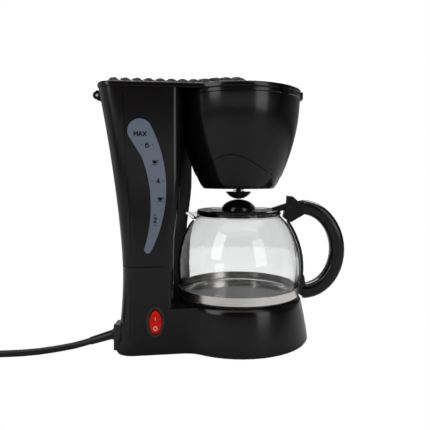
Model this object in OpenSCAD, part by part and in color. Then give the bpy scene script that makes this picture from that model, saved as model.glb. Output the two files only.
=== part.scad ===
// Drip coffee maker with a glass jug. Millimetres, +X to the front, +Z up.
// All pieces are laid out from the jug's vertical axis; from_axis() then moves them
// so that the origin is under the middle of the machine.

/* [Base] */
// Radius of the round base near the table
base_r = 71.5; // [70:0.5:76]
// Radius of the round base at its top edge
deck_r = 64; // [63.5:0.5:67]
// Height of the deck that carries the hot plate
deck_z = 43.8; // [40:0.2:50]
// Gap under the housing, filled by the rubber feet
foot_h = 1.5; // [1:0.1:3]
// Wall of the moulded housings
wall = 2.4; // [1.8:0.1:3]
// Radius of the hollow where base and tower meet
waist_r = 26; // [20:1:34]

/* [Tower] */
// Depth of the tower at its slimmest
tower_depth = 43; // [38:1:52]
// Width of the tower near its front edges
tower_w = 116; // [110:1:122]
// Angle by which each side panel widens to the back
side_taper = 11; // [6:0.5:13]
// How much further back the top edge reaches than the slimmest place
top_lean = 22.4; // [14:0.2:28]
// How much further back the foot reaches than the slimmest place
foot_flare = 6.5; // [3:0.5:9]
// Height of the slimmest place
waist_z = 75; // [65:1:90]
// Radius of the rear corners
rear_corner_r = 15; // [10:1:20]
// Height of the seam between base housing and water tank
seam_z = 83.6; // [78:0.2:90]
// Depth of the hollow in the front cover
front_hollow = 6; // [4:0.5:8]
// Gap between the jug and the front cover
jug_gap = 3; // [2:0.5:6]

/* [Brew bucket] */
// Radius of the bucket at its rim
bucket_r = 64; // [61:0.5:67]
// Radius of the bucket at its foot
bucket_foot_r = 38.5; // [36:0.5:42]
// Height of the bucket
bucket_h = 96; // [90:1:104]
// How deep the bucket's rim sinks into the tower
bucket_sink = 9; // [8:0.2:14]
// Depth of the recess under the arched line
arch_step = 0.7; // [0.4:0.1:1]
// Height of the arched lines above the bucket's foot
arch_rise = 33.5; // [26:0.5:38]
// Radius of the arched lines
arch_r = 44; // [36:1:52]

/* [Lid] */
// Height of a rib
rib_h = 6.4; // [4:0.1:8]
// How far the ribs at the front bow to the back
rib_bow = 24.8; // [14:0.2:28]
// Number of ribs
rib_count = 12; // [6:1:13]
// Height of the round cap over the filter
cap_h = 10; // [6:0.5:12]
// Radius of the round cap
cap_r = 20; // [16:1:28]

/* [Gauge and switch] */
// Radius of the gauge window's outer curve
gauge_r = 128.8; // [120:0.4:136]
// Height of the middle of the gauge window's outer curve
gauge_z = 156.6; // [150:0.2:162]
// Height of the switch
switch_z = 32.9; // [30:0.1:36]
// Height of the switch bezel's oval
bezel_h = 29.2; // [26:0.2:31]
// Width of the switch bezel's oval
bezel_w = 17.3; // [16:0.1:19]
// Tilt of the rocker each way
rocker_tilt = 8; // [5:1:10]

/* [Jug] */
// Radius of the glass at its widest
jug_r = 64.2; // [62:0.2:66]
// Height of the glass
jug_h = 86; // [80:1:94]
// Height of the glass's widest place above its foot
belly_z = 30; // [26:1:34]
// Radius of the glass's belly curve
belly_arc = 84; // [78:1:100]
// Radius of the glass at its rim
rim_r = 44.5; // [42:0.5:47]
// Thickness of the glass
glass_t = 2.2; // [1.6:0.1:3]
// Height of the steel band
band_h = 7.8; // [6:0.2:10]
// Reach of the handle from the jug's axis
handle_reach = 110; // [104:1:118]
// Width of the handle's grip
grip_w = 17; // [14:0.5:20]
// Thickness of the handle's grip
grip_t = 15.2; // [12:0.2:17]

/* [Drip stop] */
// Travel of the drip stop
valve_drop = 4; // [3:0.1:5]
// Radius of the drip stop's dome
valve_r = 13.5; // [12:0.5:16]
// Height of the drip stop's dome
valve_h = 7.6; // [6:0.2:9]

/* [Cord] */
// Diameter of the cord
cord_d = 6.2; // [5.6:0.2:7]
// Length of the strain relief
relief_l = 24; // [20:1:40]

/* [Hidden] */
$fn = 72;

// Clearances
seat_gap = 0.3;                         // between pieces of different bodies
fit_gap = 0.15;                         // between a piece and the slot it is set in
run_gap = 0.05;                         // radial, between a pin and its bore

// Heights that follow from the stack
plate_top = deck_z + 0.2;
jug_z = plate_top + seat_gap;           // underside of the jug's glass
rim_z = jug_z + jug_h;
lid_disc_h = 3.4;
dome_h = 10.4;                          // knob-like dome in the middle of the jug's lid
dome_top = rim_z + lid_disc_h + dome_h;
valve_z = dome_top + seat_gap;          // lowest point of the drip stop
valve_lift = 3.6;                       // from the drip stop's dome to the bucket
bucket_z = valve_z + valve_h + valve_lift;
rim_top = bucket_z + bucket_h;          // top edge of bucket and tower
lid_z = rim_top + seat_gap;             // underside of the lid's flange

// Depths that follow from the jug and the bucket
hollow_x = -(jug_r + jug_gap);          // front cover in its middle, beside the jug
wing_low_x = hollow_x + front_hollow;   // front edges beside the jug
front_x = -(bucket_r - bucket_sink);    // front edges beside the bucket
back_x = hollow_x - tower_depth;        // rear of the tower at its slimmest
cover_t = 2.2;                          // thickness of the front cover
wing_r = 8;                             // rounding of the front edges

// The side panels are flat: each is a line in plan, given by its distance from the axis
panel_x = -49.6;                        // where the tower is tower_w wide
side_d = panel_x * sin(side_taper) + tower_w / 2 * cos(side_taper);

// Hinge of the main lid
hinge_z = rim_top - 2.5;
hinge_r = 4.2;
hinge_pin_r = 1.5;
hinge_x = back_x - top_lean - hinge_r - 4;
hinge_y = 30;                           // middle of each hinge
ear_w = 3;
knuckle_w = 5.4;

// The origin is under the middle of the machine without its cord
mid_x = (handle_reach + hinge_x - hinge_r) / 2;

// ---------------------------------------------------------------- helpers

module from_axis() translate([-mid_x, 0, 0]) children();

// Points on an arc, with the angles from a0 to a1
function arc(c, r, a0, a1, n) =
    [for (i = [0:n - 1]) let (a = a0 + (a1 - a0) * i / (n - 1)) c + r * [cos(a), sin(a)]];

// The same outline on the other side of the XZ plane, in reverse order
function mirrored(p) = [for (i = [len(p) - 1:-1:0]) [p[i][0], -p[i][1]]];

function smooth(t) = let (u = min(1, max(0, t))) u * u * (3 - 2 * u);

// Outward normal of the far side panel, its direction to the front, and its y at a given x
side_n = [sin(side_taper), cos(side_taper)];
side_u = [cos(side_taper), -sin(side_taper)];
function side_y(x) = (side_d - side_n[0] * x) / side_n[1];

// Rear of the tower at height z
function rear_x(z) =
    z > waist_z
        ? back_x - top_lean * pow((z - waist_z) / (rim_top - waist_z), 1.5)
        : back_x - foot_flare * pow((waist_z - z) / waist_z, 2);

// Front edges of the tower: close to the jug below, further forward beside the bucket
neck_z = rim_z - 32;
function to_bucket(z) = smooth((z - neck_z) / (bucket_z + 8 - neck_z));
function wing_x(z) = wing_low_x + (front_x - wing_low_x) * to_bucket(z);
function hollow(z) = 0.6 + (front_hollow - 0.6) * (1 - to_bucket(z));

// Radius of the round base at height z, with a rounded top edge
function skirt_r(z) =
    base_r - (base_r - deck_r) * pow(z / deck_z, 1.25) - 1.2 * pow(smooth((z - deck_z + 3) / 3), 2);

// Centre of a corner rounding of radius r that touches the side panel and a line at x
function corner_c(x, r, inset) = [x, (side_d - inset - r - side_n[0] * x) / side_n[1]];

// Rear corner, from the side panel round to the back
function rear_corner(x, r, inset, n) =
    arc(corner_c(x + inset + r - inset, r - inset, inset), r - inset, 90 - side_taper, 180, n);

// Half outlines run from the front round to the back on the far side.
// Tower: pocket for the front cover, front edge, side panel, rear corner.
// Above the bucket's foot the pocket also makes room for the bucket
function tower_half(z, inset, nf) =
    let (
        back = cover_t + fit_gap,
        r = wing_r - inset,
        c = corner_c(wing_x(z) - (inset > 0 ? back : 0) - wing_r, r, inset),
        e = inset > 0 ? c[1] : pocket_y(z),
        bucket = bucket_room(z) + inset
    )
    concat(
        [for (i = [0:nf - 1]) let (t = (i + 0.5) / (nf - 0.5), y = t * e)
            [min(wing_x(z) - back - inset - hollow(z) * (1 - t * t),
                 -sqrt(max(0, bucket * bucket - y * y))), y]],
        arc(c, r, 0, 90 - side_taper, nw),
        rear_corner(rear_x(z), rear_corner_r, inset, nk)
    );

// Half width of the pocket that the front cover lies in
function pocket_y(z) = corner_c(wing_x(z) - wing_r, wing_r, 0)[1] - 1 + fit_gap;

// Radius that the front cover leaves free for the bucket, and the tank for both
function cover_room(z) =
    z < bucket_z ? 0 : bucket_rad(min(1, (z - bucket_z) / bucket_h)) + 2 * fit_gap;
function bucket_room(z) = z < bucket_z ? 0 : cover_room(z) + cover_t + 2 * fit_gap;

// Round front joined to the side panels by a hollow waist
function round_half(rc, x, inset, nf) =
    let (
        r = rc - inset,
        w = waist_r + inset,
        d = side_d - inset,
        c = side_n * (d + w) - side_u * sqrt(pow(r + w, 2) - pow(d + w, 2)),
        a = atan2(c[1], c[0])
    )
    concat(
        [for (i = [0:nf - 1]) let (t = a * (i + 0.5) / nf) r * [cos(t), sin(t)]],
        arc(c, w, a + 180, 270 - side_taper, nw),
        rear_corner(x, rear_corner_r, inset, nk)
    );

function whole(half) = concat(half, mirrored(half));
function ring(outline, z) = [for (p = outline) [p[0], p[1], z]];

// Solid through a stack of rings with equal numbers of points
module loft(rings) {
    n = len(rings[0]);
    m = len(rings);
    polyhedron(
        points = [for (r = rings) each r],
        faces = concat(
            [[for (j = [0:n - 1]) j]],
            [for (i = [0:m - 2], j = [0:n - 1]) let (k = (j + 1) % n) each
                [[i * n + j, (i + 1) * n + j, (i + 1) * n + k], [i * n + j, (i + 1) * n + k, i * n + k]]],
            [[for (j = [n - 1:-1:0]) (m - 1) * n + j]]
        ),
        convexity = 6
    );
}

// Hollow wall through rings that run up the outside and down the inside
module wall_loft(rings) {
    n = len(rings[0]);
    m = len(rings);
    polyhedron(
        points = [for (r = rings) each r],
        faces = [for (i = [0:m - 1], j = [0:n - 1]) let (k = (j + 1) % n, a = i * n, b = (i + 1) % m * n) each
                    [[a + j, b + j, b + k], [a + j, b + k, a + k]]],
        convexity = 6
    );
}

// Steps from a to b
function steps(a, b, n) = [for (i = [0:n]) a + (b - a) * i / n];

// Radius of the bucket at a share t of its height
function bucket_rad(t) = bucket_foot_r + (bucket_r - bucket_foot_r) * sin(90 * pow(t, 0.9));
nw = 6;                                 // points on a waist or front edge
nk = 6;                                 // points on a rear corner
bucket_steps = 14;
bucket_side = [for (t = steps(0, 1, bucket_steps)) [bucket_rad(t), bucket_z + t * bucket_h]];

// Places children on the near side panel: X along the panel, Y up, Z outwards
module on_side(x, z) {
    translate([x, -side_y(x), z])
        rotate([0, 0, side_taper])
            rotate([90, 0, 0])
                children();
}

module oval(w, h) {
    polygon([for (a = [0:12:348]) [w / 2 * cos(a), h / 2 * sin(a)]]);
}

// ---------------------------------------------------------------- base

skirt_levels = [foot_h, foot_h + 1.4, 10, 20, 30, 38, deck_z - 2.2, deck_z - 1, deck_z];
base_nf = 16;
foot_rows = 4;                          // levels between deck and seam
deck_set = 0.1;                         // step from tower to skirt under the deck
edge_round = 1.2;

// Outline of the skirt at height z, drawn in a little at the very bottom
function skirt(z, inset) =
    let (e = z == foot_h && inset == 0 ? edge_round : 0)
    ring(whole(round_half(skirt_r(z) - e, rear_x(z) + e, inset, base_nf)), z);
function foot(z, inset) = ring(whole(tower_half(z, inset, base_nf)), z);

module base_housing() {
    color("#1b1b1c") from_axis() {
        difference() {
            wall_loft(concat(
                [for (z = skirt_levels) skirt(z, 0)],
                [for (z = steps(deck_z, seam_z, foot_rows)) foot(z, 0)],
                [for (z = [seam_z, 60, deck_z - wall]) foot(z, wall)],
                [skirt(deck_z - wall, wall + deck_set)],
                [for (z = [26, 12, foot_h]) skirt(z, wall)]
            ));
            translate([0, 0, deck_z - wall - 1])
                cylinder(r = plate_hole_r, h = wall + 2);
            on_side(switch_x, switch_z)
                translate([0, 0, -wall - 2])
                    linear_extrude(wall + 4)
                        oval(bezel_w - 3, bezel_h - 3);
            cord_block_form(fit_gap);
        }
        for (p = screw_places)
            translate([p[0], p[1], foot_h + cover_h])
                difference() {
                    cylinder(r = boss_r, h = p[2] - foot_h - cover_h);
                    translate([0, 0, -1])
                        cylinder(r = screw_r, h = 12);
                }
    }
}

plate_hole_r = 57;
switch_x = -77.2;
cover_h = 2;
screw_r = 1.4;
screw_head_r = 2.8;
boss_r = 4;
boss_top = 20;                          // top of the front bosses
rear_screw_x = rear_x(0) + 24.7;
front_screw = (skirt_r(boss_top) - wall - boss_r + 2.2) / sqrt(2);
screw_places = [for (s = [-1, 1]) each [[front_screw, s * front_screw, boss_top],
                [rear_screw_x, s * (side_y(rear_screw_x) - wall - boss_r + 0.4), seam_z - 12]]];
outlet = [rear_x(18), -52, 17];         // where the cord leaves the back

// Underside plate, set inside the skirt
module bottom_cover() {
    color("#232324") from_axis()
        difference() {
            translate([0, 0, foot_h])
                linear_extrude(cover_h)
                    polygon(whole(round_half(skirt_r(foot_h + cover_h), rear_x(foot_h + cover_h),
                                             wall + fit_gap, base_nf)));
            for (p = screw_places)
                translate([p[0], p[1], 0]) {
                    cylinder(r = screw_r + 0.2, h = 10);
                    cylinder(r = screw_head_r + 0.15, h = foot_h + 1);
                }
            for (p = foot_places)
                translate([p[0], p[1], 0])
                    cylinder(r = foot_stem_r + run_gap, h = 10);
            for (i = [-3:3])
                translate([-4 + i * 8, 0, 0])
                    linear_extrude(10)
                        slot(3, 40);
        }
}

module slot(w, l) {
    square([w, l - w], center = true);
    for (s = [-1, 1])
        translate([0, s * (l - w) / 2])
            circle(d = w, $fn = 24);
}

foot_stem_r = 2.5;
foot_ring = base_r - 11.5;
rear_foot_x = rear_x(0) + 28.7;
foot_places = [for (s = [-1, 1]) each [[foot_ring * cos(60), s * foot_ring * sin(60)],
               [rear_foot_x, s * (side_y(rear_foot_x) - 19.5)]]];

module rubber_feet() {
    color("#2b2b2b") from_axis()
        for (p = foot_places)
            translate([p[0], p[1], 0])
                rotate_extrude()
                    polygon([[0, 0], [6.2, 0], [7, foot_h], [foot_stem_r, foot_h],
                             [foot_stem_r, foot_h + cover_h], [3.4, foot_h + cover_h],
                             [2.2, foot_h + cover_h + 2.4], [0, foot_h + cover_h + 2.4]]);
}

module base_screws() {
    color("silver") from_axis()
        for (p = screw_places)
            translate([p[0], p[1], foot_h + 0.1])
                difference() {
                    union() {
                        cylinder(r = screw_head_r, h = 0.9);
                        cylinder(r = screw_r - run_gap, h = 9);
                    }
                    translate([0, 0, -0.1])
                        for (a = [0, 90])
                            rotate([0, 0, a])
                                cube([3.6, 0.8, 1], center = true);
                }
}

// ---------------------------------------------------------------- tower

tank_floor = seam_z + 4.4;
tank_nf = 9;
tank_rows = 14;                         // levels of the tank's outside
function tank(z, inset) = ring(whole(tower_half(z, inset, tank_nf)), z);

module tank_shell() {
    color("#1b1b1c") from_axis()
        difference() {
            union() {
                loft(concat(
                    [tank(tank_floor, wall), tank(seam_z, wall)],
                    [for (z = steps(seam_z, rim_top, tank_rows)) tank(z, 0)],
                    [for (z = steps(rim_top, tank_floor + wall, 9)) tank(z, wall)]
                ));
                for (s = [-1, 1], e = [-1, 1])
                    translate([0, s * hinge_y + e * (knuckle_w + ear_w + 0.6) / 2, 0])
                        hinge_ear();
                for (y = [cold_y, hot_y])
                    translate([tube_x, y, tank_floor - 8])
                        cylinder(r = nozzle_r, h = 12 + wall);
            }
            for (y = [cold_y, hot_y])
                translate([tube_x, y, tank_floor - 9])
                    cylinder(r = nozzle_bore, h = 40);
            gauge_cut();
            spout_notch();
            for (s = [-1, 1])
                translate([hinge_x, s * hinge_y, hinge_z])
                    rotate([90, 0, 0])
                        cylinder(r = hinge_pin_r + run_gap, h = 20, center = true);
        }
}

// One ear of a lid hinge on the back of the tower
module hinge_ear() {
    rotate([90, 0, 0])
        linear_extrude(ear_w, center = true) {
            translate([hinge_x, hinge_z])
                circle(r = hinge_r);
            polygon([[hinge_x, hinge_z + 2], [rear_x(hinge_z + 2) + 1, hinge_z + 2],
                     [rear_x(hinge_z - 12) + 1, hinge_z - 12], [hinge_x - hinge_r + 0.6, hinge_z - 1.4]]);
        }
}

tube_x = -84;
cold_y = -17;
hot_y = 17;
nozzle_r = 5.4;
nozzle_bore = 3.6;
spout_z = rim_top - 6.6;

// Way for the spout arm through tank and bucket
module spout_notch() {
    translate([-78, 6, spout_z - 6])
        cube([24, 15, 30]);
}

// The window is a crescent between two arcs, with a round head and a small round tip
gauge_c = -146.9;                       // middle of the outer curve, along the panel
gauge_dx = -16.8;                       // from there to the middle of the inner curve
gauge_dz = -16.5;
gauge_in_r = gauge_r + 2.6;
head_up = 53.9;
head_r = 11.3;
tip_down = 57.2;
tip_r = 3.1;
function gauge_edge(h) = sqrt(pow(gauge_r, 2) - h * h);
function gauge_inner(h) = gauge_dx + sqrt(pow(gauge_in_r, 2) - pow(h - gauge_dz, 2));
head_c = [sqrt(pow(gauge_r - head_r, 2) - pow(head_up, 2)), head_up];
head_touch = head_up * gauge_r / (gauge_r - head_r);
head_blend = head_up - 24;              // where the head's side meets the inner curve
head_turn = 212;

module crescent(g) {
    intersection() {
        difference() {
            circle(r = gauge_r + g, $fn = 180);
            translate([gauge_dx, gauge_dz])
                circle(r = gauge_in_r - g, $fn = 180);
        }
        translate([0, -tip_down])
            square([gauge_r + 10, head_up + tip_down]);
    }
    translate(head_c)
        circle(r = head_r + g);
    intersection() {
        circle(r = gauge_r + g, $fn = 180);
        translate([head_c[0], head_up - 4])
            square([head_r + 4, head_touch - head_up + 4]);
    }
    polygon([head_c, head_c + (head_r + g) * [cos(head_turn), sin(head_turn)],
             [gauge_inner(head_blend) - g, head_blend], [gauge_inner(head_blend) + 6, head_blend]]);
    translate([gauge_edge(tip_down) - tip_r - 0.4, -tip_down])
        circle(r = tip_r + g, $fn = 32);
}

module on_gauge() {
    on_side(panel_x, gauge_z)
        translate([gauge_c, 0, 0])
            children();
}

module gauge_cut() {
    on_gauge()
        translate([0, 0, -wall - 3])
            linear_extrude(wall + 6)
                crescent(fit_gap);
}

module gauge_window() {
    color("#77839a") from_axis()
        on_gauge() {
            translate([0, 0, -wall])
                linear_extrude(wall + 0.5)
                    crescent(0);
            translate([0, 0, -wall - 1.2])
                linear_extrude(1.2)
                    crescent(1.5);
        }
}

// Front cover: a sheet between base and lid that bends round the bucket. Its top edge
// dips in the middle, under the spout arm
cover_side = [for (i = [0:tank_nf - 1]) (i + 0.5) / (tank_nf - 0.5)];
cover_s = concat([for (i = [tank_nf - 1:-1:0]) -cover_side[i]], cover_side);
cover_levels = concat(steps(deck_z, seam_z, foot_rows),
                      [for (i = [1:tank_rows - 2]) seam_z + (rim_top - seam_z) * i / tank_rows]);
cover_last = len(cover_levels) - 1;     // highest level that runs straight across
cover_rows = cover_last + 2;
function cover_half(z) = pocket_y(z) - fit_gap;
function cover_top(s) =
    let (low = spout_z - 7, high = rim_top - 3)
    low + (high - low) * smooth((abs(s) * cover_half(high) - 26) / 8);
function cover_z(i, s) =
    i <= cover_last
        ? cover_levels[i]
        : cover_levels[cover_last] + (cover_top(s) - cover_levels[cover_last]) * (i - cover_last) / 2;
function cover_point(i, s, b) =
    let (
        z = cover_z(i, s),
        y = s * cover_half(z),
        r = cover_room(z) + b
    )
    [min(wing_x(z) - b - hollow(z) * (1 - s * s), -sqrt(max(0, r * r - y * y))), y, z];
function cover_grid(b) = [for (i = [0:cover_rows], s = cover_s) cover_point(i, s, b)];

module front_cover() {
    n = len(cover_s);
    m = cover_rows;
    k = n * (m + 1);
    color("#161617") from_axis()
        polyhedron(
            points = concat(cover_grid(0), cover_grid(cover_t)),
            faces = concat(
                [for (i = [0:m - 1], j = [0:n - 2]) let (a = i * n + j) each
                    [[a, a + n, a + n + 1], [a, a + n + 1, a + 1],
                     [k + a, k + a + n + 1, k + a + n], [k + a, k + a + 1, k + a + n + 1]]],
                [for (j = [0:n - 2]) let (q = m * n + j) each
                    [[j, j + 1, k + j + 1], [j, k + j + 1, k + j],
                     [q + 1, q, k + q], [q + 1, k + q, k + q + 1]]],
                [for (i = [0:m - 1]) let (a = i * n, q = a + n - 1) each
                    [[a + n, a, k + a], [a + n, k + a, k + a + n],
                     [q, q + n, k + q + n], [q, k + q + n, k + q]]]
            ),
            convexity = 6
        );
}

// ---------------------------------------------------------------- bucket

ledge_z = rim_top - 15;
ledge_w = 1.6;
drain_r = 9;
arch_x = -8;                            // middle of the arches

module brew_bucket() {
    inner = [for (p = bucket_side) [p[0] - wall, p[1]]];
    color("#1b1b1c") from_axis() {
        difference() {
            rotate_extrude()
                polygon(concat(
                    [[drain_r, bucket_z]],
                    [[bucket_foot_r - 1.6, bucket_z]],
                    [for (p = bucket_side) if (p[1] > bucket_z) p],
                    [[bucket_r - wall, rim_top]],
                    [for (i = [bucket_steps:-1:1]) if (inner[i][1] > ledge_z) inner[i]],
                    [[bucket_rad((ledge_z - bucket_z) / bucket_h) - wall, ledge_z],
                     [bucket_rad((ledge_z - bucket_z) / bucket_h) - wall - ledge_w, ledge_z]],
                    [for (i = [bucket_steps:-1:1]) if (inner[i][1] < ledge_z - 1)
                        inner[i] - [i > bucket_steps - 4 ? ledge_w : 0, 0]],
                    [[bucket_foot_r - wall, bucket_z + wall], [drain_r, bucket_z + wall]]
                ));
            arch_recess();
            spout_notch();
        }
        bucket_lip();
    }
}

// Shallow recess round the foot that rises to an arch on each side
module arch_recess() {
    foot_band = 12;
    intersection() {
        rotate_extrude()
            polygon(concat(
                [for (p = bucket_side) p + [3, 0]],
                [for (i = [bucket_steps:-1:0]) bucket_side[i] - [arch_step, 0]]
            ));
        translate([arch_x, 0, bucket_z])
            rotate([90, 0, 0])
                linear_extrude(200, center = true) {
                    translate([0, arch_rise - arch_r])
                        circle(r = arch_r);
                    translate([-100, -2])
                        square([200, foot_band + 2]);
                }
    }
}

// Rolled lip round the bucket's rim, in front of the tower
module bucket_lip() {
    difference() {
        rotate_extrude()
            polygon([[bucket_r - 0.2, rim_top - 4.4], [bucket_r + 0.9, rim_top - 3.6],
                     [bucket_r + 0.9, rim_top - 0.6], [bucket_r - 0.2, rim_top]]);
        translate([-200 + front_x + 2, -100, 0])
            cube([200, 200, 400]);
    }
}

funnel_t = 1.6;
funnel_top = ledge_z + 1.8;
nozzle_z = bucket_z + 6;
funnel_r = bucket_rad((ledge_z - bucket_z) / bucket_h) - wall - 0.5;

module filter_funnel() {
    foot_r = bucket_foot_r - 10;
    color("#2a2a2c") from_axis()
        rotate_extrude()
            polygon([
                [5, nozzle_z], [7, nozzle_z], [7.4, nozzle_z + 6], [foot_r, nozzle_z + 8],
                [funnel_r - 4, ledge_z], [funnel_r, ledge_z], [funnel_r, funnel_top],
                [funnel_r - 4 - funnel_t, funnel_top], [foot_r - funnel_t, nozzle_z + 8 + funnel_t],
                [5, nozzle_z + 7.6]
            ]);
}

module mesh_filter() {
    foot_r = bucket_foot_r - 10;
    foot_z = nozzle_z + 17.5;
    mesh_t = 0.8;
    color("#b9a468") from_axis()
        rotate_extrude()
            polygon([
                [0, foot_z], [foot_r - 4, foot_z], [funnel_r - 7, funnel_top],
                [funnel_r - 1, funnel_top], [funnel_r - 1, funnel_top + 1.4], [funnel_r - 8.2, funnel_top + 1.4],
                [foot_r - 4 - mesh_t, foot_z + mesh_t], [0, foot_z + mesh_t]
            ]);
}

// Drip stop: a domed button on a stem through the funnel's outlet
stem_r = 2.4;
module drip_valve() {
    ball = (pow(valve_r, 2) + pow(valve_h, 2)) / (2 * valve_h);
    color("#101011") from_axis() {
        intersection() {
            translate([0, 0, valve_z + ball])
                sphere(r = ball);
            translate([0, 0, valve_z - 1])
                cylinder(r = valve_r + 1, h = valve_h + 1);
        }
        translate([0, 0, valve_z + valve_h - 1])
            cylinder(r = stem_r, h = seal_z + seal_t - valve_z - valve_h + 1);
        translate([0, 0, seal_z + seal_t])
            cylinder(r = 5, h = 1.2);
    }
}

seal_t = 1.6;
seal_z = nozzle_z + 8.1 + valve_drop;
module valve_seal() {
    color("#b4462c") from_axis()
        translate([0, 0, seal_z])
            difference() {
                cylinder(r = 6.4, h = seal_t);
                translate([0, 0, -1])
                    cylinder(r = stem_r + run_gap, h = seal_t + 2);
            }
}

// Coil spring on the stem, between the dome and the funnel's outlet
spring_r = 5.6;
spring_wire = 0.45;
spring_turns = 4;
module valve_spring() {
    z0 = valve_z + valve_h + spring_wire + 0.05;
    z1 = nozzle_z - spring_wire - 0.05;
    color("silver") from_axis()
        loft([for (i = [0:12 * spring_turns]) let (a = 30 * i)
            [for (k = [0:5]) let (q = spring_r + spring_wire * cos(60 * k))
                [q * cos(a), q * sin(a), z0 + (z1 - z0) * i / (12 * spring_turns) - spring_wire * sin(60 * k)]]]);
}

// ---------------------------------------------------------------- water path

plate_t = 1.4;
plate_dish = 0.6;                       // how much the plate's middle lies lower
plate_r = 55.5;
hose_r = 5.2;
hose_bore = 3.4;
element_ring = 38;
element_h = 7.6;
element_z = plate_top - plate_t - plate_dish - element_h;
bend_r = 12;

module tube(r, bore, h) {
    difference() {
        cylinder(r = r, h = h);
        translate([0, 0, -1])
            cylinder(r = bore, h = h + 2);
    }
}

// Hose from the element's end back and up to a nozzle under the tank
module hose(y, top) {
    translate([tube_x + bend_r, y, element_z])
        rotate([0, 90, 0])
            tube(hose_r, hose_bore, element_end - tube_x - bend_r);
    translate([tube_x + bend_r, y, element_z + bend_r])
        rotate([90, 0, 0])
            rotate([0, 0, 180])
                rotate_extrude(angle = 90)
                    translate([bend_r, 0])
                        difference() {
                            circle(r = hose_r, $fn = 32);
                            circle(r = hose_bore, $fn = 32);
                        }
    translate([tube_x, y, element_z + bend_r])
        tube(hose_r, hose_bore, top - element_z - bend_r);
}

element_end = -46;
hose_top = tank_floor - 8;

module cold_hose() {
    color("#e4e2da") from_axis()
        hose(cold_y, hose_top - 14);
}

module hot_hose() {
    color("#e4e2da") from_axis()
        hose(hot_y, hose_top);
}

// One-way valve in the cold water line
module check_valve() {
    z = hose_top - 14;
    color("white") from_axis()
        translate([tube_x, cold_y, z])
            rotate_extrude()
                polygon([[hose_bore, 0], [6.2, 0], [7, 2], [7, 11], [5.4, 14], [hose_bore, 14]]);
}

module hose_clamps() {
    color("silver") from_axis()
        for (y = [cold_y, hot_y])
            translate([element_end - 7, y, element_z])
                rotate([0, 90, 0])
                    difference() {
                        union() {
                            cylinder(r = hose_r + 0.7, h = 4);
                            translate([hose_r, -1.6, 0])
                                cube([5, 3.2, 4]);
                        }
                        translate([0, 0, -1])
                            cylinder(r = hose_r + run_gap, h = 6);
                    }
}

// Riser through the tank and the arm that brings hot water over the filter
module riser_tube() {
    z0 = tank_floor + 4 + wall;
    color("#d8d6cf") from_axis()
        translate([tube_x, hot_y, z0])
            tube(nozzle_r, nozzle_bore, spout_z - 8 - z0);
}

module spout_arm() {
    reach = norm([tube_x, hot_y]);
    turn = atan2(-hot_y, -tube_x);
    color("#26262a") from_axis()
        translate([tube_x, hot_y, 0])
            rotate([0, 0, turn])
                difference() {
                    union() {
                        translate([0, 0, spout_z - 8])
                            cylinder(r = 7, h = 12.6);
                        translate([0, 0, spout_z])
                            rotate([0, 90, 0])
                                cylinder(r = 4.6, h = reach);
                        translate([reach, 0, spout_z - 9])
                            cylinder(r1 = 9, r2 = 7, h = 13.6);
                    }
                    translate([0, 0, spout_z - 9])
                        cylinder(r = nozzle_bore, h = 9);
                    translate([0, 0, spout_z])
                        rotate([0, 90, 0])
                            cylinder(r = 3, h = reach);
                    translate([reach, 0, spout_z - 10])
                        cylinder(r = 5, h = 10);
                }
}

// Aluminium horseshoe: heating rod and water pipe cast side by side under the plate
module heating_element() {
    color("#a9abad") from_axis() {
        translate([0, 0, element_z])
            rotate([0, 0, 180 + element_gap])
                rotate_extrude(angle = 360 - 2 * element_gap) {
                    translate([element_ring, 0])
                        circle(r = hose_r, $fn = 32);
                    translate([element_ring - 10, 2])
                        circle(r = 4.4, $fn = 32);
                    translate([element_ring - 11, 0])
                        square([12, element_h]);
                }
        for (s = [-1, 1])
            translate([-element_ring * cos(element_gap), s * element_ring * sin(element_gap), element_z])
                rotate([0, -90, 0])
                    cylinder(r = hose_bore - 0.1, h = 16);
    }
}

element_gap = asin(hot_y / element_ring);

// Coated steel plate with a rolled edge
module hot_plate() {
    color("#1f2022") from_axis()
        rotate_extrude()
            polygon([
                [0, plate_top - plate_t - plate_dish], [plate_r - 6, plate_top - plate_t - plate_dish],
                [plate_r - 4, plate_top - plate_t], [plate_r, plate_top - plate_t],
                [plate_r, plate_top], [plate_r - 4.4, plate_top], [plate_r - 6.4, plate_top - plate_dish],
                [0, plate_top - plate_dish]
            ]);
}

// Rubber ring between the plate and the deck
module plate_seal() {
    color("#141414") from_axis()
        rotate_extrude()
            polygon([
                [plate_r - 4, deck_z - wall - 1], [plate_hole_r + 2.4, deck_z - wall - 1],
                [plate_hole_r + 2.4, deck_z - wall], [plate_hole_r, deck_z - wall],
                [plate_hole_r, plate_top], [plate_r, plate_top],
                [plate_r, plate_top - plate_t], [plate_r - 4, plate_top - plate_t]
            ]);
}

// Cross strap that presses the element against the plate
bracket_z = element_z - hose_r - 1.6;
module heater_bracket() {
    color("#c2c4c6") from_axis()
        difference() {
            union() {
                translate([0, 0, bracket_z])
                    linear_extrude(1.6)
                        slot(14, 2 * element_ring + 10);
                translate([0, 0, bracket_z + 1.6])
                    cylinder(r = 5, h = plate_top - plate_t - plate_dish - bracket_z - 1.6);
            }
            translate([0, 0, bracket_z - 1])
                cylinder(r = 2.05, h = 8);
        }
}

module bracket_nut() {
    color("silver") from_axis()
        translate([0, 0, bracket_z - 3.2]) {
            cylinder(r = 4, h = 3.2, $fn = 6);
            cylinder(r = 2, h = 9);
        }
}

module thermostat() {
    color("#c9c3b4") from_axis()
        translate([0, 24, bracket_z - 9])
            union() {
                cylinder(r = 7.5, h = 9);
                for (s = [-1, 1])
                    translate([s * 4.5, 0, -4])
                        cube([0.8, 5, 9], center = true);
            }
}

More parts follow.
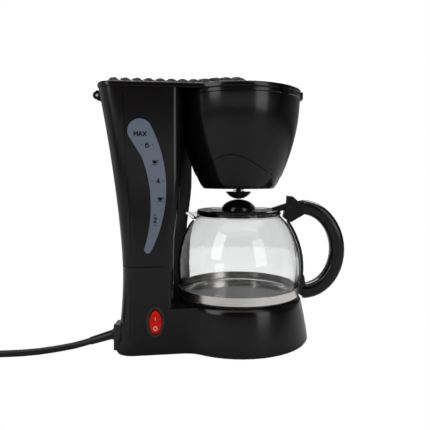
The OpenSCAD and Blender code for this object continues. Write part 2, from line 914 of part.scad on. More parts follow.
module thermal_fuses() {
    color("#d9d9d9") from_axis()
        for (y = [-30, -20])
            translate([-9, y, bracket_z - 2])
                rotate([0, 90, 0]) {
                    cylinder(r = 2, h = 18);
                    translate([0, 0, -6])
                        cylinder(r = 0.6, h = 30, $fn = 16);
                }
}

// ---------------------------------------------------------------- switch

pivot_depth = 3;
pivot_r = 1;
rocker_w = 11.6;
rocker_h = 22.4;
sleeve_h = 9;                           // depth of the bezel's sleeve behind the panel

module switch_bezel() {
    color("#2c2d2f") from_axis()
        on_side(switch_x, switch_z) {
            difference() {
                union() {
                    linear_extrude(1.6)
                        oval(bezel_w, bezel_h);
                    translate([0, 0, 1.6])
                        linear_extrude(0.8)
                            oval(bezel_w - 2, bezel_h - 2);
                    translate([0, 0, -sleeve_h])
                        linear_extrude(sleeve_h)
                            oval(bezel_w - 3 - 2 * fit_gap, bezel_h - 3 - 2 * fit_gap);
                }
                translate([0, 0, 1.5 - sleeve_h])
                    linear_extrude(20)
                        oval(rocker_w + 0.8, rocker_h + 2);
            }
            translate([0, 0, -pivot_depth])
                rotate([0, 90, 0])
                    cylinder(r = pivot_r, h = rocker_w + 1.8, center = true);
        }
}

// Rocker with two sloping faces; it rests with its lower end pressed in
module switch_rocker() {
    color("#e0231c") from_axis()
        on_side(switch_x, switch_z)
            translate([0, 0, -pivot_depth])
                rotate([rocker_tilt, 0, 0])
                    difference() {
                        intersection() {
                            translate([0, 0, -2.4])
                                linear_extrude(12)
                                    oval(rocker_w, rocker_h);
                            rotate([0, 90, 0])
                                linear_extrude(40, center = true)
                                    polygon([[2.4, -8], [2.4, 8], [-4.6, 13], [-5.6, 9],
                                             [-4.4, 0], [-5.6, -9], [-4.6, -13]]);
                        }
                        rotate([0, 90, 0])
                            cylinder(r = pivot_r + run_gap, h = 40, center = true);
                    }
}

body_h = 13;
module switch_body() {
    color("#202124") from_axis()
        on_side(switch_x, switch_z)
            translate([0, 0, -sleeve_h - body_h])
                linear_extrude(body_h)
                    square([bezel_w - 4, bezel_h - 5], center = true);
}

module switch_tabs() {
    tab_l = 8;
    color("#c8a860") from_axis()
        on_side(switch_x, switch_z)
            for (y = [-7, 0, 7])
                translate([0, y, -sleeve_h - body_h - tab_l / 2])
                    cube([5, 0.8, tab_l], center = true);
}

// ---------------------------------------------------------------- lid

lid_nf = 24;
lid_t = 5.1;
lid_skin = 2.6;
crown_z = lid_z + lid_t;
// Rounded edge of the lid: how far it reaches out, and its height above the underside
lid_edge = [[0.5, 0], [1, 0.7], [1, 3.2], [0.6, 4.2], [-0.1, 4.8], [-1.2, lid_t]];
function lid_ring(over, z) = ring(whole(round_half(bucket_r, rear_x(rim_top), -over, lid_nf)), z);

module main_lid() {
    color("#1b1b1c") from_axis() {
        difference() {
            union() {
                difference() {
                    loft([for (p = lid_edge) lid_ring(p[0], lid_z + p[1])]);
                    translate([0, 0, lid_z - 1])
                        linear_extrude(lid_t - lid_skin + 1)
                            polygon(whole(round_half(bucket_r, rear_x(rim_top), 4.5, lid_nf)));
                }
                rib_field();
                lid_cap();
                lid_lip();
                lid_arms();
                lid_tabs();
            }
            translate([0, 0, lid_z - 1])
                cylinder(r = cap_r - 3, h = lid_t + cone_h + 3);
            for (s = [-1, 1])
                translate([hinge_x, s * hinge_y, hinge_z])
                    rotate([90, 0, 0])
                        cylinder(r = hinge_pin_r + run_gap, h = 20, center = true);
        }
    }
}

// Round cap over the filter
cone_h = 4.5;
module lid_cap() {
    rotate_extrude()
        polygon(concat(
            [[0, crown_z - 1], [bucket_r - 6, crown_z - 1], [bucket_r - 6, crown_z],
             [cap_r + 1, crown_z + cone_h]],
            [for (a = [10:10:90]) [cap_r * cos(a), crown_z + cone_h - 0.4 + cap_h * sin(a)]]
        ));
}

// Field of ribs as one wavy sheet. Rows run across the lid and are placed by their ends;
// they bow more and more towards the front.
rib_rows = 6;                           // rows of points on one rib
rib_t = [-1, -0.985, -0.95, -0.87, -0.72, -0.5, -0.25, 0, 0.25, 0.5, 0.72, 0.87, 0.95, 0.985, 1];
rib_round = 0.8;                        // share of the width where a rib starts to fall off
rib_valley = 0.42;                      // height of the valleys as a share of a rib's
rib_back = rear_x(rim_top) + 12.6;
rib_front = 8;
field_edge = round_half(bucket_r, rear_x(rim_top), 2, lid_nf);

function rib_point(s, t, z) =
    let (bow = rib_bow * (0.36 + 0.64 * (s - rib_back) / (rib_front - rib_back)))
    [s - bow * (1 - t * t), t * lookup(s, field_edge), z];
function rib_end(t) = sqrt(max(0, 1 - pow(max(0, (abs(t) - rib_round) / (1 - rib_round)), 2)));
function rib_top(i, t) =
    let (wave = rib_valley + (1 - rib_valley) * pow(abs(sin(180 * i / rib_rows)), 0.6))
    crown_z - 0.4 + (rib_h + 0.4) * wave * rib_end(t);

module rib_field() {
    n = rib_count * rib_rows;
    w = len(rib_t);
    m = w - 1;
    row = [for (i = [0:n]) rib_back + (rib_front - rib_back) * i / n];
    top = [for (i = [0:n], t = rib_t) rib_point(row[i], t, rib_top(i, t))];
    low = [for (i = [0:rib_count], t = rib_t) rib_point(row[i * rib_rows], t, crown_z - 1.4)];
    b = len(top);
    half = rib_rows / 2;
    polyhedron(
        points = concat(top, low),
        faces = concat(
            [for (i = [0:n - 1], j = [0:m - 1]) let (a = i * w + j) each
                [[a, a + 1, a + w + 1], [a, a + w + 1, a + w]]],
            [for (i = [0:rib_count - 1], j = [0:m - 1]) let (a = b + i * w + j) each
                [[a, a + w + 1, a + 1], [a, a + w, a + w + 1]]],
            [for (j = [0:m - 1]) each
                [[j, b + j + 1, j + 1], [j, b + j, b + j + 1]]],
            [for (j = [0:m - 1]) let (a = n * w + j, q = b + rib_count * w + j) each
                [[a, a + 1, q + 1], [a, q + 1, q]]],
            [for (i = [0:rib_count - 1]) let (a = i * rib_rows * w, q = b + i * w) each concat(
                [for (k = [0:half - 1]) [q, a + k * w, a + (k + 1) * w]],
                [[q, a + half * w, q + w]],
                [for (k = [half:rib_rows - 1]) [q + w, a + k * w, a + (k + 1) * w]])],
            [for (i = [0:rib_count - 1]) let (a = i * rib_rows * w + m, q = b + i * w + m) each concat(
                [for (k = [0:half - 1]) [q, a + (k + 1) * w, a + k * w]],
                [[q, q + w, a + half * w]],
                [for (k = [half:rib_rows - 1]) [q + w, a + (k + 1) * w, a + k * w]])]
        ),
        convexity = 10
    );
}

// Lip that locates the lid inside the bucket's rim, open at the back for the spout arm
module lid_lip() {
    translate([0, 0, lid_z - 4])
        rotate([0, 0, -100])
            rotate_extrude(angle = 200)
                translate([bucket_r - wall - 3.2, 0])
                    square([2, 7.5]);
}

module lid_arms() {
    arm_z = lid_z + lid_skin;
    for (s = [-1, 1])
        translate([0, s * hinge_y, 0])
            rotate([90, 0, 0])
                linear_extrude(knuckle_w, center = true) {
                    translate([hinge_x, hinge_z])
                        circle(r = hinge_r - 0.4);
                    polygon([[hinge_x - 3, hinge_z + 1], [hinge_x - 2, arm_z], [rear_x(rim_top) + 2, arm_z],
                             [rear_x(rim_top) + 2, lid_z], [hinge_x + 4.6, lid_z], [hinge_x + 3, hinge_z + 1]]);
                }
}

// Two catches on the sides of the front and the finger grip
module lid_tabs() {
    for (a = [-48, 48])
        rotate([0, 0, a]) {
            translate([bucket_r + 1.4, -3.5, lid_z - 6])
                cube([2, 7, 9]);
            translate([bucket_r - 3, -3.5, lid_z])
                cube([6, 7, 3]);
        }
    translate([bucket_r - 3, -8, lid_z])
        cube([5.6, 16, 3]);
    translate([bucket_r + 1.4, -8, lid_z - 4])
        cube([1.2, 16, 5]);
}

module lid_hinge_pins() {
    color("silver") from_axis()
        for (s = [-1, 1])
            translate([hinge_x, s * hinge_y, hinge_z])
                rotate([90, 0, 0])
                    cylinder(r = hinge_pin_r, h = knuckle_w + 2 * ear_w + 0.6, center = true);
}

// ---------------------------------------------------------------- jug

band_z = jug_z + 3;
function belly(z) = jug_r - belly_arc + sqrt(pow(belly_arc, 2) - pow(z - jug_z - belly_z, 2));
neck_start = rim_z - 12;
function glass_side(t) = concat(
    [[belly(band_z) - 8 - t * 0.4, jug_z + t], [belly(band_z) - 2.4 - t * 0.8, jug_z + 1 + t * 0.7]],
    [for (z = [band_z, band_z + band_h]) [belly(band_z + band_h) - t, z]],
    [for (z = steps(band_z + band_h + 1, neck_start, 11)) [belly(z) - t, z]],
    [[(belly(neck_start) + rim_r) / 2 - t - 0.6, rim_z - 7.2], [rim_r - 0.4 - t, rim_z - 4],
     [rim_r - 0.8 - t, rim_z - 2.2]]
);

module glass_solid(t, top) {
    rotate_extrude()
        polygon(concat([[0, jug_z + t]], glass_side(t), [[rim_r + 0.4 - t, rim_z + top], [0, rim_z + top]]));
}

spout_reach = 56;
module spout_solid(t, top) {
    hull() {
        translate([-rim_r + 10, 0, rim_z - 11 + t])
            cylinder(r = 9 - t, h = 11 - t + top, $fn = 32);
        translate([-spout_reach + 2.6 + t, 0, rim_z - 1.6 + t * 0.4])
            cylinder(r = 2.6 - t * 0.8, h = 1.6 - t * 0.4 + top, $fn = 32);
    }
}

module jug_glass() {
    color("#dfe9ea", 0.4) from_axis()
        difference() {
            union() {
                glass_solid(0, 0);
                spout_solid(0, 0);
            }
            glass_solid(glass_t, 1);
            spout_solid(glass_t, 1);
        }
}

module jug_band() {
    r = belly(band_z + band_h);
    color("#c9ccce") from_axis()
        translate([0, 0, band_z])
            tube(r + 0.9, r + run_gap, band_h);
}

// Grip: a band of rounded section along an elliptical bow
grip_x = 66.5;
grip_z = jug_z + 48;
grip_a = handle_reach - grip_x - grip_t / 2;
grip_b = 43.6;
grip_from = -90;
grip_to = 90;
grip_rings = 22;

function grip_ring(a) =
    let (
        p = [grip_x + grip_a * cos(a), grip_z + grip_b * sin(a)],
        t = [-grip_a * sin(a), grip_b * cos(a)] / norm([grip_a * sin(a), grip_b * cos(a)])
    )
    [for (i = [0:15]) let (
        q = i * 22.5,
        c = sign(cos(q)) * pow(abs(cos(q)), 0.7),
        s = sign(sin(q)) * pow(abs(sin(q)), 0.7)
    ) [p[0] + grip_t / 2 * c * t[1], grip_w / 2 * s, p[1] - grip_t / 2 * c * t[0]]];

module jug_handle() {
    color("#151516") from_axis()
        difference() {
            union() {
                loft([for (a = steps(grip_from, grip_to, grip_rings)) grip_ring(a)]);
                handle_strap();
                handle_head();
                handle_foot();
            }
            translate([head_x, 0, head_z])
                rotate([90, 0, 0])
                    cylinder(r = 1.2 + run_gap, h = 40, center = true);
            translate([head_x - 20, -lever_w / 2 - 0.4, head_z - 4.4])
                cube([32, lever_w + 0.8, 20]);
            translate([50, 0, screw_z])
                rotate([0, 90, 0])
                    cylinder(r = 1.6, h = 24);
        }
}

// Strap that follows the glass from the head of the handle to its foot
strap_t = 2.8;
strap_gap = 0.6;
module handle_strap() {
    levels = steps(band_z + band_h + 2, rim_z - 9, 9);
    rotate([0, 0, -6])
        rotate_extrude(angle = 12)
            polygon(concat(
                [for (z = levels) [belly(z) + strap_gap, z]],
                [for (i = [9:-1:0]) [belly(levels[i]) + strap_gap + strap_t, levels[i]]]
            ));
}

head_x = 53.5;
head_z = rim_z + 6.5;
module handle_head() {
    rotate([90, 0, 0])
        linear_extrude(grip_w - 1, center = true)
            polygon([[rim_r + 3.5, rim_z + 2], [rim_r + 4.5, rim_z + 8.6], [head_x + 3, rim_z + 10.6],
                     [grip_x + 1, grip_z + grip_b + grip_t / 2 - 0.6], [grip_x + 2, grip_z + grip_b - grip_t / 2 + 0.8],
                     [belly(rim_z - 12) + 3, rim_z - 9.4], [belly(rim_z - 12) + 0.8, rim_z - 9.4],
                     [rim_r + 2.2, rim_z - 5]]);
}

screw_z = band_z + band_h / 2;
foot_gap = 1.1;
module handle_foot() {
    r = belly(band_z + band_h) + foot_gap;
    rotate([90, 0, 0])
        linear_extrude(grip_w - 3, center = true)
            polygon([[r, band_z + band_h + 5], [r + 5, band_z + band_h + 10],
                     [grip_x + 3, grip_z - grip_b + grip_t / 2 - 0.8],
                     [grip_x + 3, grip_z - grip_b - grip_t / 2 + 0.6], [r + 2, jug_z + 0.4], [r, jug_z + 1.4]]);
}

module band_screw() {
    color("silver") from_axis()
        translate([belly(band_z + band_h) + 0.95, 0, screw_z])
            rotate([0, 90, 0])
                cylinder(r = 1.55, h = 9);
}

lever_w = 9;
knob_r = 18;                            // radius of the lid's dome
module jug_lid() {
    r = rim_r - glass_t - 0.8;
    color("#151516") from_axis() {
        difference() {
            rotate_extrude()
                polygon(concat(
                    [[0, rim_z - 1], [r - 2, rim_z - 1], [r - 2, rim_z - 3.4], [r, rim_z - 3.4], [r, rim_z],
                     [rim_r - 1, rim_z], [rim_r - 0.6, rim_z + 2.4], [rim_r - 2, rim_z + 3.2],
                     [rim_r - 6, rim_z + 3.2], [rim_r - 9, rim_z + 1.8], [knob_r + 1.5, rim_z + 1.8]],
                    [for (a = [0:15:90]) [knob_r * cos(a), rim_z + 2.4 + (dome_top - rim_z - 2.4) * sin(a)]]
                ));
            for (a = [45:90:315])
                rotate([0, 0, a])
                    translate([26, 0, rim_z - 2])
                        cylinder(r = 2.4, h = 8, $fn = 24);
        }
        difference() {
            rotate([90, 0, 0])
                linear_extrude(lever_w, center = true)
                    polygon([[rim_r - 8, rim_z + 1], [rim_r - 2, rim_z + 1.2], [head_x + 2.6, head_z - 1.6],
                             [head_x + 3, head_z + 1], [head_x + 8.4, rim_z + 12.2], [head_x + 3.5, rim_z + 16.8],
                             [head_x - 3, rim_z + 17.6], [head_x - 3.4, rim_z + 9.6], [rim_r - 10, rim_z + 4.6]]);
            translate([head_x, 0, head_z])
                rotate([90, 0, 0])
                    cylinder(r = 1.2 + run_gap, h = 40, center = true);
        }
    }
}

module jug_lid_pin() {
    color("silver") from_axis()
        translate([head_x, 0, head_z])
            rotate([90, 0, 0])
                cylinder(r = 1.2, h = grip_w - 2, center = true);
}

// ---------------------------------------------------------------- cord

block_w = 16;
relief_w = 1.3;                         // wall of the strain relief at its root
module cord_block_form(g) {
    translate([outlet[0] - 3.4, outlet[1] - block_w / 2 - g, outlet[2] - 13 - g])
        cube([8, block_w + 2 * g, 24 + 2 * g]);
}

// Insert in the back of the base that holds the strain relief
module cord_block() {
    color("#1b1b1c") from_axis()
        difference() {
            cord_block_form(0);
            translate(outlet)
                rotate([0, 90, 0])
                    cylinder(r = cord_d / 2 + relief_w + run_gap, h = 30, center = true);
        }
}

// Bridge on the bottom cover that grips the relief's sleeve inside the base
sleeve_l = 26;
module cord_clamp() {
    clamp_z = foot_h + cover_h;
    color("#dcdcd4") from_axis()
        difference() {
            translate([outlet[0] + 10, outlet[1] - 10, clamp_z])
                cube([7, 20, outlet[2] + cord_d / 2 + 5 - clamp_z]);
            translate(outlet)
                rotate([0, 90, 0])
                    cylinder(r = cord_d / 2 + relief_w + run_gap, h = 60, center = true);
        }
}

relief_tilt = 17.5;
relief_dir = [-cos(relief_tilt), 0, -sin(relief_tilt)];
collar_h = 2.8;
relief_start = outlet - [3.4 + collar_h / 2, 0, 0];
relief_end = relief_start + relief_l * relief_dir;

module strain_relief() {
    color("#161616") from_axis() {
        translate(relief_start)
            rotate([0, -90 - relief_tilt, 0])
                cylinder(r1 = cord_d / 2 + relief_w, r2 = cord_d / 2 + 0.5, h = relief_l);
        translate(outlet - [3.4 + collar_h, 0, 0])
            rotate([0, 90, 0])
                cylinder(r = cord_d / 2 + relief_w + 1, h = collar_h);
        translate(outlet - [3.4, 0, 0])
            rotate([0, 90, 0])
                cylinder(r = cord_d / 2 + relief_w, h = sleeve_l);
    }
}

// Cord from the strain relief to the coil
cord_lie = cord_d / 2;
cord_route = [relief_end, relief_end + 8 * relief_dir, [-158, -53, 5.2], [-167.5, -55.2, 3.9],
              [-177, -59.2, 3.3], [-188, -64.2, cord_lie], [-200, -68.2, cord_lie],
              [-213, -70.9, cord_lie], [-226, -72.7, cord_lie], [-240, -74.2, cord_lie],
              [-254, -75.4, cord_lie], [-267, -76, cord_lie], [-279, -76, cord_lie], [-290, -76, cord_lie]];
coil_c = [-290, -41];
coil_r = 35;

function cord_ring(i) =
    let (
        last = len(cord_route) - 1,
        t0 = cord_route[min(i + 1, last)] - cord_route[max(i - 1, 0)],
        t = t0 / norm(t0),
        s0 = cross([0, 0, 1], t),
        s = s0 / norm(s0),
        u = cross(t, s)
    )
    [for (k = [0:9]) cord_route[i] + cord_d / 2 * (cos(k * 36) * s + sin(k * 36) * u)];

module cord_tube() {
    color("#161616") from_axis()
        difference() {
            loft([for (i = [0:len(cord_route) - 1]) cord_ring(i)]);
            coil_space();
        }
}

coil_h = 2 * cord_d;
module cord_coil() {
    color("#161616") from_axis()
        translate([coil_c[0], coil_c[1], 0])
            rotate_extrude()
                translate([coil_r - cord_d, 0])
                    square([2 * cord_d, coil_h]);
}

// Space taken by the coil, out of which cord and plug lead
module coil_space() {
    translate([coil_c[0], coil_c[1], -1])
        cylinder(r = coil_r + cord_d, h = coil_h + 2);
}

tie_w = 6;
tie_t = 1;
module cord_tie() {
    color("#dddddd") from_axis()
        translate([coil_c[0] + coil_r, coil_c[1], 0])
            difference() {
                translate([-cord_d - tie_t - 0.4, -tie_w / 2, 0])
                    cube([2 * cord_d + 2 * tie_t + 0.4, tie_w, coil_h + tie_t]);
                translate([-cord_d - 0.4, -tie_w, -1])
                    cube([2 * cord_d + 0.42, 2 * tie_w, coil_h + 1.02]);
            }
}

plug_x = coil_c[0] - coil_r;
plug_y = coil_c[1] + 20;
plug_z = 7;                             // middle of the plug, which lies on the table
plug_neck = 16;
plug_l = 19.5;
module plug_body() {
    color("#161616") from_axis()
        difference() {
            translate([plug_x, plug_y, plug_z])
                rotate([-90, 0, 0]) {
                    cylinder(r1 = cord_d / 2 + 0.4, r2 = 5, h = plug_neck);
                    translate([0, 0, plug_neck])
                        hull() {
                            cylinder(r = 6, h = 1, $fn = 32);
                            translate([0, 0, 10])
                                cube([24, 13, 1], center = true);
                            translate([0, 0, plug_l - 0.5])
                                cube([26, 2 * plug_z, 1], center = true);
                        }
                }
            coil_space();
        }
}

module plug_pins() {
    color("silver") from_axis()
        translate([plug_x, plug_y + plug_neck + plug_l, plug_z])
            rotate([-90, 0, 0])
                for (s = [-1, 1])
                    translate([s * 9.3, 0, 0])
                        cylinder(r = 2, h = 19);
}

base_housing();
bottom_cover();
rubber_feet();
base_screws();
tank_shell();
front_cover();
gauge_window();
brew_bucket();
filter_funnel();
mesh_filter();
drip_valve();
valve_seal();
valve_spring();
riser_tube();
spout_arm();
cold_hose();
hot_hose();
check_valve();
hose_clamps();
heating_element();
hot_plate();
plate_seal();
heater_bracket();
bracket_nut();
thermostat();
thermal_fuses();
switch_bezel();
switch_body();
switch_rocker();
switch_tabs();
main_lid();
lid_hinge_pins();
jug_glass();
jug_band();
jug_handle();
jug_lid();
jug_lid_pin();
band_screw();
cord_block();
cord_clamp();
strain_relief();
cord_tube();
cord_coil();
cord_tie();
plug_body();
plug_pins();
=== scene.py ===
import math

import bmesh
import bpy
from mathutils import Matrix, Vector
from mathutils.bvhtree import BVHTree


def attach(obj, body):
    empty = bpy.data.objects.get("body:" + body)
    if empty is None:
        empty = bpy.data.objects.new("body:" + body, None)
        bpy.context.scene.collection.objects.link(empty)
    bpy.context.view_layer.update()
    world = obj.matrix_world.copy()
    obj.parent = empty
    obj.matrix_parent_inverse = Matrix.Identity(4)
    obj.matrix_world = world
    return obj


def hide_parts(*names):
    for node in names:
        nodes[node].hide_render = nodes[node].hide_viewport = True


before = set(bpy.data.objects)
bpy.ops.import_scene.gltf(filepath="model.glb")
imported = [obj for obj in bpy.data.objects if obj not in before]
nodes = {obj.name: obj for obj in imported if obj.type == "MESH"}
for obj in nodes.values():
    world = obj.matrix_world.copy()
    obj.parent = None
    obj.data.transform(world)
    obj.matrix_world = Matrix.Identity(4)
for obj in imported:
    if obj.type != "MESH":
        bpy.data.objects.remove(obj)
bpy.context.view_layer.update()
scene = bpy.context.scene
jugX = 0.0175                       # the jug's axis, along X
print("frame loaded:", len(nodes), "nodes")


camera = {                          # a little left of the jug's axis, level with the bucket's foot
    "place": (0.0189, -0.5006, 0.1675),
    "turn": 3.0,                    # degrees to the left of straight ahead
    "frame": 430,                   # width and height of the view, in pixels
    "zoom": 473,                    # focal length, in pixels
    "horizon": 38,                  # its height above the middle, in pixels
    "sensor": 36,
    "near": 0.01,
}


def sightAxes(c):
    turn = math.radians(c["turn"])
    ahead = Vector((-math.sin(turn), math.cos(turn), 0))
    aside = Vector((math.cos(turn), math.sin(turn), 0))
    return ahead, aside


def makeCamera(c):
    data = bpy.data.cameras.new("camera")
    data.lens = c["zoom"] / c["frame"] * c["sensor"]
    data.sensor_width = c["sensor"]
    data.shift_y = -c["horizon"] / c["frame"]
    data.clip_start = c["near"]
    obj = bpy.data.objects.new("camera", data)
    scene.collection.objects.link(obj)
    obj.location = c["place"]
    obj.rotation_mode = "QUATERNION"
    obj.rotation_quaternion = sightAxes(c)[0].to_track_quat("-Z", "Y")
    scene.camera = obj


makeCamera(camera)
print("camera placed")


# colour, roughness and what else the finish needs
finishes = {
    "glossBlack": ((0.005, 0.004, 0.0039), 0.18, {"Specular IOR Level": 0.38}),
    "coverBlack": ((0.006, 0.0052, 0.005), 0.6, {"IOR": 1.1, "Specular IOR Level": 0.2}),
    # dead black without sheen: the dark joint of the tank's seam, and painted shade along the bucket's arch
    # recess and the tower's creases
    "seamAndShadeBlack": ((0.001, 0.001, 0.001), 1.0, {"Specular IOR Level": 0}),
    "mattBlack": ((0.012, 0.012, 0.0125), 0.5, {}),
    "rubberBlack": ((0.012, 0.012, 0.012), 0.6, {"Specular IOR Level": 0.3}),
    "cordBlack": ((0.006, 0.006, 0.006), 0.32, {"Specular IOR Level": 0.4}),
    "plateBlack": ((0.01, 0.0105, 0.0115), 0.34, {"Specular IOR Level": 0.12}),
    "windowGrey": ((0.142, 0.173, 0.232), 0.2, {"Specular IOR Level": 0.75}),
    "markInk": ((0.004, 0.009, 0.02), 0.6, {"Specular IOR Level": 0.1}),
    "bezelGrey": ((0.02, 0.021, 0.021), 0.3, {}),
    "rockerRed": ((0.82, 0.012, 0.002), 0.22, {"Specular IOR Level": 0.2}),
    "markWhite": ((0.9, 0.62, 0.55), 0.5, {}),
    "screwSteel": ((0.55, 0.55, 0.55), 0.35, {"Metallic": 1.0}),
    "bandSteel": ((0.97, 0.92, 0.88), 0.26, {"Metallic": 1.0}),
    "goldMesh": ((0.6, 0.48, 0.25), 0.35, {"Metallic": 1.0}),
    "castAluminium": ((0.5, 0.51, 0.52), 0.45, {"Metallic": 1.0}),
    "brassTab": ((0.55, 0.42, 0.18), 0.35, {"Metallic": 1.0}),
    "milkySilicone": ((0.7, 0.69, 0.64), 0.5, {}),
    "redSilicone": ((0.4, 0.05, 0.03), 0.5, {}),
    "offWhite": ((0.75, 0.74, 0.7), 0.45, {}),
    "clearGlass": ((0.975, 0.98, 0.98), 0.0, {"Transmission Weight": 1.0, "IOR": 1.45}),
    "paleFloor": ((0.5, 0.5, 0.5), 0.8, {"Specular IOR Level": 0.1}),
}

# size and depth in millimetres, unevenness of the roughness, stretch along X, Y and Z
grains = {
    "mattBlack": (1.2, 0.1, 0, (1, 1, 1)),
    "rubberBlack": (1.5, 0.1, 0, (1, 1, 1)),
    "castAluminium": (1, 0.1, 0.1, (1, 1, 1)),
    "glossBlack": (3, 0.01, 0.02, (1, 1, 1)),
    "coverBlack": (3, 0.01, 0.03, (1, 1, 1)),
    "windowGrey": (4, 0.01, 0.02, (1, 1, 1)),
    "rockerRed": (2, 0.01, 0.02, (1, 1, 1)),
    "bezelGrey": (2, 0.01, 0.03, (1, 1, 1)),
    "cordBlack": (1.2, 0.03, 0.05, (1, 1, 1)),
    "plateBlack": (0.8, 0.04, 0.05, (1, 1, 1)),
    "bandSteel": (0.3, 0.005, 0.06, (200, 200, 1)),     # brushed round the jug
    "screwSteel": (1, 0.02, 0.08, (1, 1, 1)),
    "goldMesh": (0.6, 0.08, 0.05, (1, 1, 1)),
}

noise = {
    "detail": 3,
    "strength": 0.3,
    "usual": (0.3, 0.7),            # between these lies most of what the noise gives
}


def plainMaterial(name, colour, roughness, others):
    mat = bpy.data.materials.new(name)
    mat.use_nodes = True
    shader = mat.node_tree.nodes["Principled BSDF"]
    shader.inputs["Base Color"].default_value = (*colour, 1)
    shader.inputs["Roughness"].default_value = roughness
    for key, value in others.items():
        shader.inputs[key].default_value = value
    return mat


def addRange(tree, value, fromLow, fromHigh, toLow, toHigh):
    node = tree.nodes.new("ShaderNodeMapRange")
    tree.links.new(value, node.inputs["Value"])
    for key, number in zip(("From Min", "From Max", "To Min", "To Max"), (fromLow, fromHigh, toLow, toHigh)):
        node.inputs[key].default_value = number
    return node.outputs[0]


def addGrain(mat, size, depth, uneven, stretch):
    # fine unevenness of the surface and of its roughness
    tree = mat.node_tree
    shader = tree.nodes["Principled BSDF"]
    rough = shader.inputs["Roughness"]
    coords = tree.nodes.new("ShaderNodeTexCoord")
    mapping = tree.nodes.new("ShaderNodeMapping")
    texture = tree.nodes.new("ShaderNodeTexNoise")
    bump = tree.nodes.new("ShaderNodeBump")
    mapping.inputs["Scale"].default_value = [1000 / (size * k) for k in stretch]
    texture.inputs["Scale"].default_value = 1
    texture.inputs["Detail"].default_value = noise["detail"]
    bump.inputs["Strength"].default_value = noise["strength"]
    bump.inputs["Distance"].default_value = depth / 1000
    tree.links.new(coords.outputs["Object"], mapping.inputs["Vector"])
    tree.links.new(mapping.outputs["Vector"], texture.inputs["Vector"])
    if uneven:
        low, high = rough.default_value - uneven, rough.default_value + uneven
        tree.links.new(addRange(tree, texture.outputs["Fac"], *noise["usual"], low, high), rough)
    tree.links.new(texture.outputs["Fac"], bump.inputs["Height"])
    tree.links.new(bump.outputs["Normal"], shader.inputs["Normal"])


materials = {name: plainMaterial(name, *values) for name, values in finishes.items()}
for name, values in grains.items():
    addGrain(materials[name], *values)
print("finishes mixed:", len(materials))


finishOf = {
    "glossBlack": ["base_housing", "tank_shell", "brew_bucket", "main_lid", "jug_handle", "jug_lid"],
    "coverBlack": ["front_cover"],
    "mattBlack": ["bottom_cover", "filter_funnel", "drip_valve", "spout_arm", "switch_body", "jug_lid_pin",
                  "cord_block"],
    "rubberBlack": ["rubber_feet", "plate_seal"],
    "cordBlack": ["strain_relief", "cord_tube", "cord_coil", "plug_body"],
    "plateBlack": ["hot_plate"],
    "windowGrey": ["gauge_window"],
    "bezelGrey": ["switch_bezel"],
    "rockerRed": ["switch_rocker"],
    "screwSteel": ["base_screws", "valve_spring", "hose_clamps", "heater_bracket", "bracket_nut",
                   "thermal_fuses", "lid_hinge_pins", "band_screw", "plug_pins"],
    "bandSteel": ["jug_band"],
    "goldMesh": ["mesh_filter"],
    "castAluminium": ["heating_element"],
    "brassTab": ["switch_tabs"],
    "milkySilicone": ["cold_hose", "hot_hose"],
    "redSilicone": ["valve_seal"],
    "offWhite": ["riser_tube", "check_valve", "thermostat", "cord_clamp", "cord_tie"],
    "clearGlass": ["jug_glass"],
}

smooth = {
    "sharp": 32,                    # edges that turn by more degrees stay sharp
    "weld": 1e-6,
    "weight": 90,
    "rounded": {"gauge_window": 1.0},   # nodes with rounded edges, in millimetres
    "roundedTurn": 60,              # degrees that an edge turns before it is rounded
    "roundedSteps": 3,
}


def finishNode(name, mat, s):
    obj = nodes[name]
    if name in s["rounded"]:
        bevel = obj.modifiers.new("bevel", "BEVEL")
        bevel.width = s["rounded"][name] / 1000
        bevel.segments = s["roundedSteps"]
        bevel.limit_method = "ANGLE"
        bevel.angle_limit = math.radians(s["roundedTurn"])
    obj.data.materials.clear()
    obj.data.materials.append(mat)
    obj.data.polygons.foreach_set("use_smooth", [True] * len(obj.data.polygons))
    weld = obj.modifiers.new("weld", "WELD")
    weld.merge_threshold = s["weld"]
    split = obj.modifiers.new("split", "EDGE_SPLIT")
    split.split_angle = math.radians(s["sharp"])
    weigh = obj.modifiers.new("weigh", "WEIGHTED_NORMAL")
    weigh.mode = "FACE_AREA"
    weigh.weight = s["weight"]


for finish, names in finishOf.items():
    for name in names:
        finishNode(name, materials[finish], smooth)
print("solids finished")


def addObject(name, data, place, finish, body):
    data.materials.append(materials[finish])
    obj = bpy.data.objects.new(name, data)
    scene.collection.objects.link(obj)
    obj.matrix_world = place
    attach(obj, body)
    return obj


def roundCurve(name, points, thick, rounding):
    curve = bpy.data.curves.new(name, "CURVE")
    curve.dimensions = "3D"
    curve.bevel_depth = thick / 2
    curve.bevel_resolution = rounding
    curve.use_fill_caps = True
    spline = curve.splines.new("POLY")
    spline.points.add(len(points) - 1)
    for target, p in zip(spline.points, points):
        target.co = (*p, 1)
    spline.use_smooth = True
    return curve


cord = {                            # points in millimetres from the jug's axis
    "thick": 0.0062,
    "rounding": 6,
    "route": [(-141.64, -52, 9.78), (-149.27, -52, 7.38), (-158, -53, 5.2), (-167.5, -55.2, 3.9),
              (-177, -59.2, 3.3), (-188, -64.2, 3.1), (-200, -68.2, 3.1), (-213, -70.9, 3.1),
              (-226, -72.7, 3.1), (-240, -74.2, 3.1), (-254, -75.4, 3.1), (-267, -76.5, 3.1),
              (-279, -78.2, 3.1)],
    "coil": (-290, -41),
    "coilStart": -90,               # degrees, seen from above
    "coilStep": 15,
    # degrees turned since the start, with the coil's radius and height there
    "radius": [(0, 38.1), (270, 38.1), (360, 31.9), (900, 31.9), (990, 38.1), (1170, 38.1)],
    "height": [(0, 3.1), (570, 3.1), (630, 9.3), (1170, 9.3)],
    "tail": [(-327.8, -36, 9.3), (-327, -31, 9), (-326, -26, 8.2), (-325.2, -21, 7.3), (-325, -16, 7)],
}


